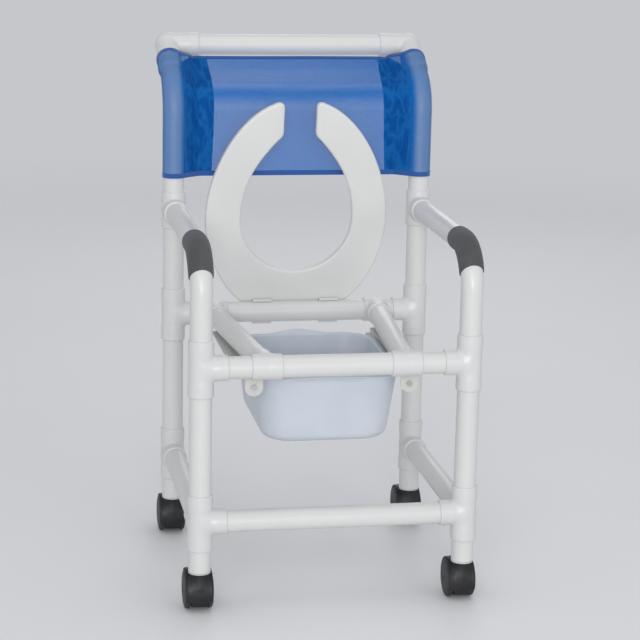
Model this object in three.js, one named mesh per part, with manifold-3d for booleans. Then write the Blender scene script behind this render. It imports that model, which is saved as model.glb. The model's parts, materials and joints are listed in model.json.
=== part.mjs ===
// Commode chair on casters: white plastic pipe and slip fittings, a mesh back sling, an open-front
// toilet seat that hinges on the rear seat bar, a slide-out pail and four twin-wheel casters.
// Millimetres, +Z up, +Y towards the chair's back. The origin is on the floor, midway between the
// front fittings and the push bar. Left is -X, right is +X, as seen from the front.
import * as THREE from "three";
import { mergeVertices } from "three/addons/utils/BufferGeometryUtils.js";
import Module from "manifold-3d";

const wasm = await Module();
wasm.setup();

// Pipe and fittings: 1 1/4 inch furniture pipe, 42.16 mm across, in slip-on sockets.
const PIPE_R = 21.1;
const BORE_R = 17.1;
const GAP = 0.3;
const SOCKET_R = PIPE_R + GAP;
const FITTING_R = 24.3;
const BEND_R = 80;
const ROUND_STEPS = 8; // curve segments that give a full circle sixteen sides
const SOCKET_DEPTH_FROM_AXIS = 24.6; // where a branch's socket ends, measured from the run's axis
const PIPE_START = 25; // where the pipe in that socket starts
const TEE_RUN_HALF = 54;
const ARM_TEE_RUN_HALF = 37;
const RAIL_TEE_RUN_HALF = 29;
const TEE_BRANCH = 50;
const ELBOW_LEG = 64;
const ELBOW_SOCKET_START = 32;

// The frame's lines.
const HALF_WIDTH = 254;
const PUSH_BAR_Y = 295;
const FRONT_Y = -PUSH_BAR_Y;
const REAR_Y = FRONT_Y + 457;
const PIPE_END_Z = 81;
const LOWER_Z = 177;
const SEAT_Z = 473;
const ARM_Z = 689;
const POST_BEND_Z = 931;
const PUSH_BAR_Z = 1010;
const RAIL_REAR_X = 172;
const RAIL_FRONT_X = 132;

// Foam grips over the front bends.
const GRIP_R = 23.6;
const GRIP_REAR_Y = FRONT_Y + 112;
const GRIP_END_ANGLE = 27; // degrees of bend left uncovered at the lower end

// Back sling.
const SLEEVE_R = 23;
const SLEEVE_INNER_R = PIPE_R + 0.4;
const SLING_BOTTOM_Z = 756;
const SLING_FRONT = 12; // front face of the cloth, behind the posts' axes
const CLOTH = 3;
const SLING_TOP_GAP = 66; // sleeves end this far from the push bar's axis
const SLING_CENTRE_GAP = 31; // and the middle of the cloth this far
const SLING_CENTRE_HALF = 187;

// Seat, measured in its own plane: x across, a along from the hinge axis, h above the axis.
const SEAT_ANGLE = 98; // from level and pointing back, so 8 degrees forward of upright
const SEAT_UNDER = 30;
const SEAT_THICK = 18;
const SEAT_EDGE = 5;
const SEAT_HALF = 188.5;
const SEAT_WIDEST = 190;
const SEAT_TIP = 434;
const SEAT_HEEL = -15;
const SEAT_HEEL_HALF = 105;
const TIP_OUTER = 47;
const TIP_INNER = 33;
const HOLE_HALF = 116;
const HOLE_DEPTH = 113;
const CLIP_X = 70;
const CLIP_WIDTH = 40;
const CLIP_INNER_R = 22;
const CLIP_OUTER_R = 26;
const CLIP_MOUTH_HALF_ANGLE = 84;
const CLIP_BASE_HALF = 13;

// Pail and the glides that it hangs in.
const PAIL_X = -4;
const PAIL_RIM_Z = 442;
const PAIL_BOTTOM_Z = 310;
const PAIL_FRONT_Y = FRONT_Y + 22;
const PAIL_LENGTH = 368;
const PAIL_FLANGE_HALF = 148;
const PAIL_FLANGE = 3.7;
const PAIL_BODY_HALF = 138;
const PAIL_WALL = 2.5;
const PAIL_TAPER = Math.tan(THREE.MathUtils.degToRad(7.7));
const PAIL_FOOT_R = 16;
const PAIL_CORNER_R = 58;
const PAIL_REAR_CREST = { x: -3, halfWidth: 58, height: 9.4 };
const PAIL_FRONT_CREST = { x: 0, halfWidth: 100, height: 3 };
const GLIDE = { ledge: 141, web: 150.5, thick: 3, edge: 178, bottom: 435, top: 448.3 };
const EAR = { x: 148, halfWidth: 17, bottomZ: 412 };
const EAR_TO_PAIL = 0.6;
const SCREW_HEAD_R = 5.5;
const SCREW_R = 2.1;

// Casters.
const TRAIL = 24;
const WHEEL_R = 37.5;
const WHEEL_SIDES = 16;
const WHEEL_INNER = 16.4;
const WHEEL_OUTER = 28.4;
const WHEEL_TREAD = 7;
const WHEEL_SHOULDER = { drop: 3.5, inset: 2 };
const WHEEL_DOME_DROP = 10;
const WHEEL_BORE_R = 4.8;
const WHEEL_BORE_END = 23.2;
const AXLE_R = 4.2;
const AXLE_END = 22.7;
const HOOD_R = 40.3;
const HOOD_HALF = 26.4;
const HOOD_WALL_GAP = 0.9;
const HOOD_BEVEL = { drop: 1.2, width: 3 };
const HOOD_CORE_HALF = 15.8;
const HOOD_CORE_BOTTOM = 8;
const HOOD_COVER_BOTTOM = 21;
const STEM_R = 5.5;
const STEM_TOP = 114;
const BOSS_R = 12;
const BOSS_START_Z = 55;
const SOCKET_PLUG_R = 16.8;
const SOCKET_BORE_R = 6.1;
const SOCKET_FLANGE = 2;
const SOCKET_TOP = 119;

const SIDES = [
  { name: "left", sign: -1 },
  { name: "right", sign: 1 },
];
const ENDS = [
  { name: "front", y: FRONT_Y },
  { name: "rear", y: REAR_Y },
];

const finish = (color, roughness) => new THREE.MeshStandardMaterial({ color, roughness, metalness: 0 });
const PIPE = finish(0xe9e9e6, 0.35);
const FITTING = finish(0xe6e6e3, 0.32);
const FOAM = finish(0x5d5e60, 0.9);
const MESH_CLOTH = finish(0x5f84bd, 0.85);
const SEAT_PLASTIC = finish(0xdededb, 0.4);
const PAIL_PLASTIC = finish(0xd4dbe6, 0.4);
const DARK_PLASTIC = finish(0x303135, 0.5);
const STEEL = finish(0x9a9c9f, 0.35);

const chair = new THREE.Group();
const v = (x, y, z) => new THREE.Vector3(x, y, z);
const radians = THREE.MathUtils.degToRad;

function place(name, geometry, material, parent = chair) {
  const mesh = new THREE.Mesh(geometry, material);
  mesh.name = name;
  parent.add(mesh);
  return mesh;
}

// ---- Solids ----

function solid(geometry) {
  const bare = geometry.clone();
  bare.deleteAttribute("normal");
  bare.deleteAttribute("uv");
  const merged = mergeVertices(bare, 1e-3);
  return new wasm.Manifold(
    new wasm.Mesh({
      numProp: 3,
      vertProperties: merged.attributes.position.array,
      triVerts: new Uint32Array(merged.index.array),
    }),
  );
}

function geometryOf(body) {
  const mesh = body.getMesh();
  const shared = new THREE.BufferGeometry()
    .setAttribute("position", new THREE.BufferAttribute(mesh.vertProperties, 3))
    .setIndex(new THREE.BufferAttribute(mesh.triVerts, 1));
  const faceted = shared.toNonIndexed();
  faceted.computeVertexNormals();
  return faceted;
}

const joined = (bodies) => bodies.reduce((all, body) => all.add(body));
const cut = (body, tools) => tools.reduce((rest, tool) => rest.subtract(tool), body);

// A path through listed stations, each a point with its tangent, so that an extrusion takes one
// step between neighbours whatever their distance.
class StationPath extends THREE.Curve {
  constructor(stations) {
    super();
    this.stations = stations;
  }
  station(u) {
    return this.stations[Math.round(u * (this.stations.length - 1))];
  }
  getPointAt(u, target = new THREE.Vector3()) {
    return target.copy(this.station(u).point);
  }
  getTangentAt(u, target = new THREE.Vector3()) {
    return target.copy(this.station(u).tangent);
  }
}

// Stations along straight lines between points, with an arc of the given radius at each corner.
function route(points, radius = BEND_R, arcSteps = 5) {
  const heading = (i) => points[i + 1].clone().sub(points[i]).normalize();
  const stations = [{ point: points[0], tangent: heading(0) }];
  for (let i = 1; i < points.length - 1; i++) {
    const before = heading(i - 1);
    const after = heading(i);
    const turn = before.angleTo(after);
    const inset = radius * Math.tan(turn / 2);
    const inward = after.clone().addScaledVector(before, -Math.cos(turn)).normalize();
    const start = points[i].clone().addScaledVector(before, -inset);
    for (let k = 0; k <= arcSteps; k++) {
      const angle = (turn * k) / arcSteps;
      stations.push({
        point: start
          .clone()
          .addScaledVector(before, radius * Math.sin(angle))
          .addScaledVector(inward, radius * (1 - Math.cos(angle))),
        tangent: before.clone().multiplyScalar(Math.cos(angle)).addScaledVector(inward, Math.sin(angle)),
      });
    }
  }
  const last = points.length - 1;
  stations.push({ point: points[last], tangent: heading(last - 1) });
  return stations;
}

function sweep(section, stations) {
  return new THREE.ExtrudeGeometry(section, {
    steps: stations.length - 1,
    curveSegments: ROUND_STEPS,
    extrudePath: new StationPath(stations),
  });
}

const disc = (radius) => new THREE.Shape().absarc(0, 0, radius, 0, 2 * Math.PI, false);

function ring(outer, inner) {
  const section = disc(outer);
  section.holes.push(new THREE.Path().absarc(0, 0, inner, 0, 2 * Math.PI, true));
  return section;
}

const rod = (from, to, radius) => solid(sweep(disc(radius), route([from, to])));
const along = (from, direction, distance) => from.clone().addScaledVector(direction, distance);

function plate(shape, thickness, curveSegments = ROUND_STEPS) {
  return new THREE.ExtrudeGeometry(shape, { depth: thickness, bevelEnabled: false, curveSegments });
}

// A plate that stands upright: the shape is drawn in X and Z, and its front face is at y.
const standingPlate = (shape, thickness, y) =>
  plate(shape, thickness)
    .rotateX(Math.PI / 2)
    .translate(0, y + thickness, 0);

// ---- Fittings ----

// A slip tee or three-way corner: a sleeve round the run pipe, and a socket for each branch.
function tee(name, centre, runAxis, runHalf, branchAxes) {
  const run = rod(along(centre, runAxis, -runHalf), along(centre, runAxis, runHalf), FITTING_R);
  const branches = branchAxes.map((axis) => rod(centre, along(centre, axis, TEE_BRANCH), FITTING_R));
  const bore = rod(along(centre, runAxis, -runHalf - 1), along(centre, runAxis, runHalf + 1), SOCKET_R);
  const sockets = branchAxes.map((axis) =>
    rod(along(centre, axis, SOCKET_DEPTH_FROM_AXIS), along(centre, axis, TEE_BRANCH + 1), SOCKET_R),
  );
  place(name, geometryOf(cut(joined([run, ...branches]), [bore, ...sockets])), FITTING);
}

// The right-angle elbow between a rear post's upper end and the push bar.
function pushElbow(side) {
  const corner = v(side.sign * HALF_WIDTH, PUSH_BAR_Y, PUSH_BAR_Z);
  const down = postSlope.clone().negate();
  const inward = v(-side.sign, 0, 0);
  const line = [along(corner, down, ELBOW_LEG), corner, along(corner, inward, ELBOW_LEG)];
  const bend = route(line, ELBOW_SOCKET_START, 4);
  const passage = solid(sweep(disc(BORE_R), bend));
  const knuckle = new THREE.SphereGeometry(FITTING_R, ROUND_STEPS, ROUND_STEPS / 2);
  const outside = joined([
    solid(knuckle.translate(corner.x, corner.y, corner.z)),
    ...[down, inward].map((axis) => rod(corner, along(corner, axis, ELBOW_LEG), FITTING_R)),
  ]);
  const sockets = [down, inward].map((axis) =>
    rod(along(corner, axis, ELBOW_SOCKET_START), along(corner, axis, ELBOW_LEG + 1), SOCKET_R),
  );
  place(`push_elbow_${side.name}`, geometryOf(cut(outside, [passage, ...sockets])), FITTING);
}

// ---- Frame ----

const UP = v(0, 0, 1);
const FORWARD = v(0, -1, 0);
const BACK = v(0, 1, 0);
const ACROSS = v(1, 0, 0);
const postBend = v(0, REAR_Y, POST_BEND_Z);
const pushBarCentre = v(0, PUSH_BAR_Y, PUSH_BAR_Z);
const postSlope = pushBarCentre.clone().sub(postBend).normalize();

const pipe = (name, points) => place(name, sweep(ring(PIPE_R, BORE_R), route(points)), PIPE);

function sidePipes(side) {
  const x = side.sign * HALF_WIDTH;
  const pushCorner = v(x, PUSH_BAR_Y, PUSH_BAR_Z);
  pipe(`rear_post_${side.name}`, [
    v(x, REAR_Y, PIPE_END_Z),
    v(x, REAR_Y, POST_BEND_Z),
    along(pushCorner, postSlope, -ELBOW_SOCKET_START - GAP),
  ]);
  pipe(`arm_and_leg_${side.name}`, [
    v(x, FRONT_Y, PIPE_END_Z),
    v(x, FRONT_Y, ARM_Z),
    v(x, REAR_Y - PIPE_START, ARM_Z),
  ]);
  pipe(`side_lower_bar_${side.name}`, [
    v(x, FRONT_Y + PIPE_START, LOWER_Z),
    v(x, REAR_Y - PIPE_START, LOWER_Z),
  ]);
}

const crossPipe = (name, y, z, end) => pipe(name, [v(-HALF_WIDTH + end, y, z), v(HALF_WIDTH - end, y, z)]);

function postTees(side) {
  const x = side.sign * HALF_WIDTH;
  const inward = v(-side.sign, 0, 0);
  tee(`arm_tee_${side.name}`, v(x, REAR_Y, ARM_Z), UP, ARM_TEE_RUN_HALF, [FORWARD]);
  tee(`rear_lower_tee_${side.name}`, v(x, REAR_Y, LOWER_Z), UP, TEE_RUN_HALF, [FORWARD]);
  tee(`front_lower_tee_${side.name}`, v(x, FRONT_Y, LOWER_Z), UP, TEE_RUN_HALF, [inward, BACK]);
  for (const end of ENDS) {
    tee(`${end.name}_seat_tee_${side.name}`, v(x, end.y, SEAT_Z), UP, TEE_RUN_HALF, [inward]);
  }
}

// The rails under the seat run level and closer together towards the front.
function seatRail(side) {
  const rear = v(side.sign * RAIL_REAR_X, REAR_Y, SEAT_Z);
  const front = v(side.sign * RAIL_FRONT_X, FRONT_Y, SEAT_Z);
  const forward = front.clone().sub(rear).normalize();
  const backward = forward.clone().negate();
  tee(`rail_rear_tee_${side.name}`, rear, ACROSS, RAIL_TEE_RUN_HALF, [forward]);
  tee(`rail_front_tee_${side.name}`, front, ACROSS, RAIL_TEE_RUN_HALF, [backward]);
  pipe(`seat_rail_${side.name}`, [along(front, backward, PIPE_START), along(rear, forward, PIPE_START)]);
}

// A foam sleeve over the front bend, from the armrest down to the upper leg.
function armGrip(side) {
  const x = side.sign * HALF_WIDTH;
  const bend = route([v(x, GRIP_REAR_Y, ARM_Z), v(x, FRONT_Y, ARM_Z), v(x, FRONT_Y, PIPE_END_Z)]);
  const arcStations = bend.slice(1, -1);
  const covered = arcStations.filter((s) => -s.tangent.z < Math.cos(radians(GRIP_END_ANGLE)));
  const section = ring(GRIP_R, PIPE_R + GAP);
  place(`arm_grip_${side.name}`, sweep(section, [bend[0], ...covered]), FOAM);
}

// The sling's cloth hangs behind the posts' axes and runs into a sleeve round each post. Section
// axes: u towards the front, w towards the right.
function slingSection() {
  const back = SLING_FRONT + CLOTH;
  const meet = (depth) => Math.atan2(Math.sqrt(SLEEVE_R ** 2 - depth ** 2), -depth);
  const frontAngle = meet(SLING_FRONT);
  const backAngle = meet(back);
  const section = new THREE.Shape()
    .absarc(0, HALF_WIDTH, SLEEVE_R, -frontAngle, 2 * Math.PI - backAngle, false)
    .absarc(0, -HALF_WIDTH, SLEEVE_R, backAngle, 2 * Math.PI + frontAngle, false);
  for (const side of SIDES) {
    const hole = new THREE.Path();
    section.holes.push(hole.absarc(0, side.sign * HALF_WIDTH, SLEEVE_INNER_R, 0, 2 * Math.PI, true));
  }
  return section;
}

function backSling() {
  const bottom = v(0, REAR_Y, SLING_BOTTOM_Z);
  const sleeveTop = along(pushBarCentre, postSlope, -SLING_TOP_GAP);
  const whole = sweep(slingSection(), route([bottom, postBend, sleeveTop]));
  const middle = new THREE.Shape([
    new THREE.Vector2(-SLING_FRONT - CLOTH, -SLING_CENTRE_HALF),
    new THREE.Vector2(-SLING_FRONT, -SLING_CENTRE_HALF),
    new THREE.Vector2(-SLING_FRONT, SLING_CENTRE_HALF),
    new THREE.Vector2(-SLING_FRONT - CLOTH, SLING_CENTRE_HALF),
  ]);
  // The same start as the whole sling keeps the section turned the same way.
  const tall = sweep(middle, route([bottom, postBend, along(pushBarCentre, postSlope, -SLING_CENTRE_GAP)]));
  place("back_sling", geometryOf(joined([solid(whole), solid(tall)])), MESH_CLOTH);
}

function frame() {
  for (const side of SIDES) {
    sidePipes(side);
    postTees(side);
    seatRail(side);
    pushElbow(side);
    armGrip(side);
  }
  crossPipe("push_bar", PUSH_BAR_Y, PUSH_BAR_Z, ELBOW_SOCKET_START + GAP);
  crossPipe("front_lower_bar", FRONT_Y, LOWER_Z, PIPE_START);
  crossPipe("front_seat_bar", FRONT_Y, SEAT_Z, PIPE_START);
  crossPipe("rear_seat_bar", REAR_Y, SEAT_Z, PIPE_START);
  backSling();
}

// ---- Seat ----

// Half outlines run from the heel to the tip outside, and back round the hole.
function seatShape() {
  const outline = new THREE.Shape();
  outline.moveTo(-SEAT_HEEL_HALF, SEAT_HEEL);
  outline.lineTo(SEAT_HEEL_HALF, SEAT_HEEL);
  outline.lineTo(SEAT_HEEL_HALF, 5);
  outline.bezierCurveTo(150, 35, SEAT_HALF, 110, SEAT_HALF, SEAT_WIDEST);
  outline.bezierCurveTo(SEAT_HALF, 290, 130, 405, TIP_OUTER, SEAT_TIP);
  outline.lineTo(TIP_INNER, SEAT_TIP);
  outline.lineTo(TIP_INNER, 367);
  outline.bezierCurveTo(70, 322, HOLE_HALF, 278, HOLE_HALF, SEAT_WIDEST);
  outline.absellipse(0, SEAT_WIDEST, HOLE_HALF, HOLE_DEPTH, 0, -Math.PI, true);
  outline.bezierCurveTo(-HOLE_HALF, 278, -70, 322, -TIP_INNER, 367);
  outline.lineTo(-TIP_INNER, SEAT_TIP);
  outline.lineTo(-TIP_OUTER, SEAT_TIP);
  outline.bezierCurveTo(-130, 405, -SEAT_HALF, 290, -SEAT_HALF, SEAT_WIDEST);
  outline.bezierCurveTo(-SEAT_HALF, 110, -150, 35, -SEAT_HEEL_HALF, 5);
  outline.closePath();
  return outline;
}

// A plastic clip that snaps over the rear seat bar and is screwed under the seat's heel.
function hingeClip(side, seat) {
  const mouth = radians(CLIP_MOUTH_HALF_ANGLE);
  const jaw = new THREE.Shape()
    .absarc(0, 0, CLIP_OUTER_R, mouth, 2 * Math.PI - mouth, false)
    .absarc(0, 0, CLIP_INNER_R, 2 * Math.PI - mouth, mouth, true);
  const base = new THREE.Shape([
    new THREE.Vector2(-SEAT_UNDER + GAP, -CLIP_BASE_HALF),
    new THREE.Vector2(-CLIP_INNER_R - 1, -CLIP_BASE_HALF),
    new THREE.Vector2(-CLIP_INNER_R - 1, CLIP_BASE_HALF),
    new THREE.Vector2(-SEAT_UNDER + GAP, CLIP_BASE_HALF),
  ]);
  const body = joined([solid(plate(jaw, CLIP_WIDTH)), solid(plate(base, CLIP_WIDTH))]);
  const geometry = geometryOf(body).rotateY(-Math.PI / 2);
  const mesh = place(`seat_hinge_clip_${side.name}`, geometry, SEAT_PLASTIC, seat);
  mesh.position.x = side.sign * CLIP_X + CLIP_WIDTH / 2;
}

function seatAssembly() {
  const seat = new THREE.Group();
  seat.position.set(0, REAR_Y, SEAT_Z);
  seat.rotation.x = radians(SEAT_ANGLE);
  chair.add(seat);
  const ringPlate = new THREE.ExtrudeGeometry(seatShape(), {
    depth: SEAT_THICK - 2 * SEAT_EDGE,
    bevelThickness: SEAT_EDGE,
    bevelSize: SEAT_EDGE,
    bevelOffset: -SEAT_EDGE,
    bevelSegments: 2,
    curveSegments: ROUND_STEPS,
  });
  place("seat", ringPlate, SEAT_PLASTIC, seat).position.z = -SEAT_UNDER - SEAT_THICK + SEAT_EDGE;
  for (const side of SIDES) hingeClip(side, seat);
}

// ---- Pail and glides ----

function roundedRectangle(halfWidth, halfLength, radius) {
  const x = halfWidth - radius;
  const y = halfLength - radius;
  return new THREE.Shape()
    .absarc(x, y, radius, 0, Math.PI / 2, false)
    .absarc(-x, y, radius, Math.PI / 2, Math.PI, false)
    .absarc(-x, -y, radius, Math.PI, 1.5 * Math.PI, false)
    .absarc(x, -y, radius, 1.5 * Math.PI, 2 * Math.PI, false);
}

// A tub's solid from its bottom to its rim: the extruded outline narrows with depth by the taper,
// and curves in to a flat foot.
function tub(halfWidth, halfLength, bottom, top, footRadius) {
  const levels = [0, 0.12, 0.35, 0.65, 1].map((part) => {
    const angle = (part * Math.PI) / 2;
    const z = bottom + footRadius * (1 - Math.cos(angle));
    return { z, inset: (top - z) * PAIL_TAPER + footRadius * (1 - Math.sin(angle)) };
  });
  levels.push({ z: top, inset: 0 });
  const geometry = new THREE.ExtrudeGeometry(roundedRectangle(halfWidth, halfLength, PAIL_CORNER_R), {
    depth: levels.length - 1,
    steps: levels.length - 1,
    bevelEnabled: false,
    curveSegments: 2,
  });
  const points = geometry.attributes.position;
  for (let i = 0; i < points.count; i++) {
    const { z, inset } = levels[Math.round(points.getZ(i))];
    points.setXYZ(
      i,
      points.getX(i) * (1 - inset / halfWidth),
      points.getY(i) * (1 - inset / halfLength),
      z,
    );
  }
  return geometry;
}

// A low arch on the rim's front or rear edge.
function rimCrest({ x, halfWidth, height }, y) {
  const radius = (halfWidth ** 2 + height ** 2) / (2 * height);
  const sweepHalf = Math.asin(halfWidth / radius);
  const arch = new THREE.Shape()
    .absarc(0, height - radius, radius, Math.PI / 2 - sweepHalf, Math.PI / 2 + sweepHalf, false)
    .lineTo(-halfWidth, -PAIL_FLANGE / 2)
    .lineTo(halfWidth, -PAIL_FLANGE / 2);
  return solid(standingPlate(arch, PAIL_FLANGE, y).translate(x, 0, PAIL_RIM_Z));
}

function pail() {
  const halfLength = PAIL_LENGTH / 2;
  const overhang = PAIL_FLANGE_HALF - PAIL_BODY_HALF;
  const under = PAIL_RIM_Z - PAIL_FLANGE;
  const outside = solid(tub(PAIL_BODY_HALF, halfLength - overhang, PAIL_BOTTOM_Z, under + 1, PAIL_FOOT_R));
  const rim = roundedRectangle(PAIL_FLANGE_HALF, halfLength, PAIL_CORNER_R + overhang);
  const flange = solid(plate(rim, PAIL_FLANGE, 3).translate(0, 0, under));
  const crests = [
    rimCrest(PAIL_REAR_CREST, halfLength - PAIL_FLANGE),
    rimCrest(PAIL_FRONT_CREST, -halfLength),
  ];
  const inside = solid(
    tub(
      PAIL_BODY_HALF - PAIL_WALL,
      halfLength - overhang - PAIL_WALL,
      PAIL_BOTTOM_Z + PAIL_WALL,
      PAIL_RIM_Z + 1,
      PAIL_FOOT_R - PAIL_WALL,
    ),
  );
  const body = cut(joined([outside, flange, ...crests]), [inside]);
  place("pail", geometryOf(body), PAIL_PLASTIC).position.set(PAIL_X, PAIL_FRONT_Y + halfLength, 0);
}

// A channel under each seat rail: a ledge under the pail's flange, a web beside it, a flange under
// the rail's tees, and a round-ended ear in front of the pail that stops it there and takes a screw.
function pailGlide(side) {
  const { ledge, web, thick, edge, bottom, top } = GLIDE;
  const corners = [
    [ledge, bottom],
    [web + thick, bottom],
    [web + thick, top - thick],
    [edge, top - thick],
    [edge, top],
    [web, top],
    [web, bottom + thick],
    [ledge, bottom + thick],
  ];
  const section = new THREE.Shape(corners.map(([x, z]) => new THREE.Vector2(x, z)));
  const screwZ = EAR.bottomZ + EAR.halfWidth;
  const ear = new THREE.Shape()
    .moveTo(EAR.x + EAR.halfWidth, top)
    .lineTo(EAR.x - EAR.halfWidth, top)
    .absarc(EAR.x, screwZ, EAR.halfWidth, Math.PI, 2 * Math.PI, false);
  ear.holes.push(new THREE.Path().absarc(EAR.x, screwZ, SCREW_R + 0.4, 0, 2 * Math.PI, true));
  const frontY = PAIL_FRONT_Y - EAR_TO_PAIL;
  const length = PAIL_LENGTH + 6;
  const body = joined([
    solid(standingPlate(section, length, frontY)),
    solid(standingPlate(ear, thick, frontY - thick + GAP)),
  ]);
  const glide = new THREE.Group();
  glide.position.x = PAIL_X;
  chair.add(glide);
  const mirrored = (geometry) => (side.sign > 0 ? geometry : flipX(geometry));
  place(`pail_glide_${side.name}`, mirrored(geometryOf(body)), PIPE, glide);
  const face = frontY - thick;
  const screw = joined([
    rod(v(EAR.x, face - 3, screwZ), v(EAR.x, face, screwZ), SCREW_HEAD_R),
    rod(v(EAR.x, face - 1, screwZ), v(EAR.x, face + thick + 3, screwZ), SCREW_R),
  ]);
  place(`glide_screw_${side.name}`, mirrored(geometryOf(screw)), STEEL, glide);
}

// The mirror image in X, with its faces still pointing out.
function flipX(geometry) {
  const points = geometry.attributes.position;
  for (let i = 0; i < points.count; i += 3) {
    const [a, b, c] = [i, i + 2, i + 1].map((k) => new THREE.Vector3().fromBufferAttribute(points, k));
    [a, b, c].forEach((p, k) => points.setXYZ(i + k, -p.x, p.y, p.z));
  }
  geometry.computeVertexNormals();
  return geometry;
}

// ---- Casters ----

// Profiles are [radius, distance along the axle] pairs; the solid turns about the X axis.
function turned(profile, sides = WHEEL_SIDES) {
  const scale = 1 / Math.cos(Math.PI / sides); // flats, not corners, sit at the stated radius
  const points = profile.map(([radius, x]) => new THREE.Vector2(radius * scale, x));
  return new THREE.LatheGeometry(points, sides, Math.PI / sides).rotateZ(-Math.PI / 2);
}

function wheelGeometry() {
  return turned([
    [0, WHEEL_BORE_END],
    [WHEEL_BORE_R, WHEEL_BORE_END],
    [WHEEL_BORE_R, WHEEL_INNER],
    [WHEEL_R - 1, WHEEL_INNER],
    [WHEEL_R, WHEEL_INNER + 1],
    [WHEEL_R, WHEEL_INNER + WHEEL_TREAD],
    [WHEEL_R - WHEEL_SHOULDER.drop, WHEEL_OUTER - WHEEL_SHOULDER.inset],
    [WHEEL_R - WHEEL_DOME_DROP, WHEEL_OUTER],
    [0, WHEEL_OUTER],
  ]);
}

// The hood: a broad core between the wheels, a band over their treads that is open at the sides, a
// boss and the swivel stem.
function hoodGeometry() {
  const axle = v(0, TRAIL, WHEEL_R);
  const atAxle = (geometry) => solid(geometry.translate(0, TRAIL, WHEEL_R));
  const block = (low, high) => {
    const size = high.clone().sub(low);
    const middle = low.clone().add(high).multiplyScalar(0.5);
    return solid(new THREE.BoxGeometry(size.x, size.y, size.z).translate(middle.x, middle.y, middle.z));
  };
  const above = (z) => block(v(-50, TRAIL - 50, z), v(50, TRAIL + 50, z + 100));
  const core = atAxle(
    turned([
      [0, -HOOD_CORE_HALF],
      [HOOD_R, -HOOD_CORE_HALF],
      [HOOD_R, HOOD_CORE_HALF],
      [0, HOOD_CORE_HALF],
    ]),
  );
  const cover = atAxle(
    turned([
      [0, -HOOD_HALF],
      [HOOD_R - HOOD_BEVEL.drop, -HOOD_HALF],
      [HOOD_R, -HOOD_HALF + HOOD_BEVEL.width],
      [HOOD_R, HOOD_HALF - HOOD_BEVEL.width],
      [HOOD_R - HOOD_BEVEL.drop, HOOD_HALF],
      [0, HOOD_HALF],
    ]),
  );
  const wheelRoom = [-1, 1].map((sign) => {
    const geometry = turned([
      [0, HOOD_CORE_HALF],
      [WHEEL_R + HOOD_WALL_GAP, HOOD_CORE_HALF],
      [WHEEL_R + HOOD_WALL_GAP, HOOD_HALF + 1],
      [0, HOOD_HALF + 1],
    ]);
    return atAxle(sign > 0 ? geometry : geometry.rotateZ(Math.PI));
  });
  const band = cut(cover.intersect(above(HOOD_COVER_BOTTOM)), wheelRoom);
  const bossTop = PIPE_END_Z - SOCKET_FLANGE - 2 * GAP;
  const body = joined([
    core.intersect(above(HOOD_CORE_BOTTOM)),
    band,
    rod(v(0, 0, BOSS_START_Z), v(0, 0, bossTop), BOSS_R),
    rod(v(0, 0, BOSS_START_Z + 5), v(0, 0, STEM_TOP), STEM_R),
  ]);
  const stub = rod(along(axle, ACROSS, -AXLE_END), along(axle, ACROSS, AXLE_END), AXLE_R);
  return geometryOf(body.add(stub));
}

function socketGeometry() {
  const flangeTop = PIPE_END_Z - GAP;
  const body = joined([
    rod(v(0, 0, flangeTop - SOCKET_FLANGE), v(0, 0, flangeTop), PIPE_R),
    rod(v(0, 0, flangeTop - 1), v(0, 0, SOCKET_TOP), SOCKET_PLUG_R),
  ]);
  const bore = rod(v(0, 0, PIPE_END_Z - 10), v(0, 0, SOCKET_TOP + 1), SOCKET_BORE_R);
  return geometryOf(cut(body, [bore]));
}

function casters() {
  const hood = hoodGeometry();
  const socket = socketGeometry();
  const wheel = wheelGeometry();
  for (const end of ENDS) {
    for (const side of SIDES) {
      const corner = `${end.name}_${side.name}`;
      const caster = new THREE.Group();
      caster.position.set(side.sign * HALF_WIDTH, end.y, 0);
      chair.add(caster);
      place(`caster_socket_${corner}`, socket, PIPE, caster);
      place(`caster_hood_${corner}`, hood, DARK_PLASTIC, caster);
      for (const facing of SIDES) {
        const where = facing.sign === side.sign ? "outer" : "inner";
        const mesh = place(`caster_wheel_${corner}_${where}`, wheel, DARK_PLASTIC, caster);
        mesh.position.set(0, TRAIL, WHEEL_R);
        mesh.rotation.z = facing.sign > 0 ? 0 : Math.PI;
      }
    }
  }
}

frame();
seatAssembly();
pail();
for (const side of SIDES) pailGlide(side);
casters();

export default chair;
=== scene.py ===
"""Commode chair on casters: the looks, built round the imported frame.

Lengths in this script are millimetres in the frame's own axes: +Z up, +Y towards the back, left is -X.
The meshes are made in metres from them. Each sub-part and each material has a function of its own.
"""
import json
import math

import bpy
import numpy as np
from mathutils import Matrix, Vector


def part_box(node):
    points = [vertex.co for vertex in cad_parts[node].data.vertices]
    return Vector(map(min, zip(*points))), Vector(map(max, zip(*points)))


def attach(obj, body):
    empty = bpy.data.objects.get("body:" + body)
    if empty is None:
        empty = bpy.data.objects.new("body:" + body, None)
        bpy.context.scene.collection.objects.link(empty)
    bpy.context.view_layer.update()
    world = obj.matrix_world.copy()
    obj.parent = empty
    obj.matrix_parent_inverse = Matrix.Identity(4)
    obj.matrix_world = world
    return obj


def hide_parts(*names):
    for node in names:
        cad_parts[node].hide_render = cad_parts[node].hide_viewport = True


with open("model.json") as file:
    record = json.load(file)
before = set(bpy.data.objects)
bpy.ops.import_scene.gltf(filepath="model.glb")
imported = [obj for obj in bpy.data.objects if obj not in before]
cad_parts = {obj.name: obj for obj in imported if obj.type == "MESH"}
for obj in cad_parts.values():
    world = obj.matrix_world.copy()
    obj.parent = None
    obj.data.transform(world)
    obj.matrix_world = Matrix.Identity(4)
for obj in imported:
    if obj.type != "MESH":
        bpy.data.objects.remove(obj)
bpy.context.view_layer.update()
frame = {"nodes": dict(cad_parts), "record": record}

MM = 0.001
SIDES = {"left": -1, "right": 1}
X, Y, Z = np.eye(3)


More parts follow.
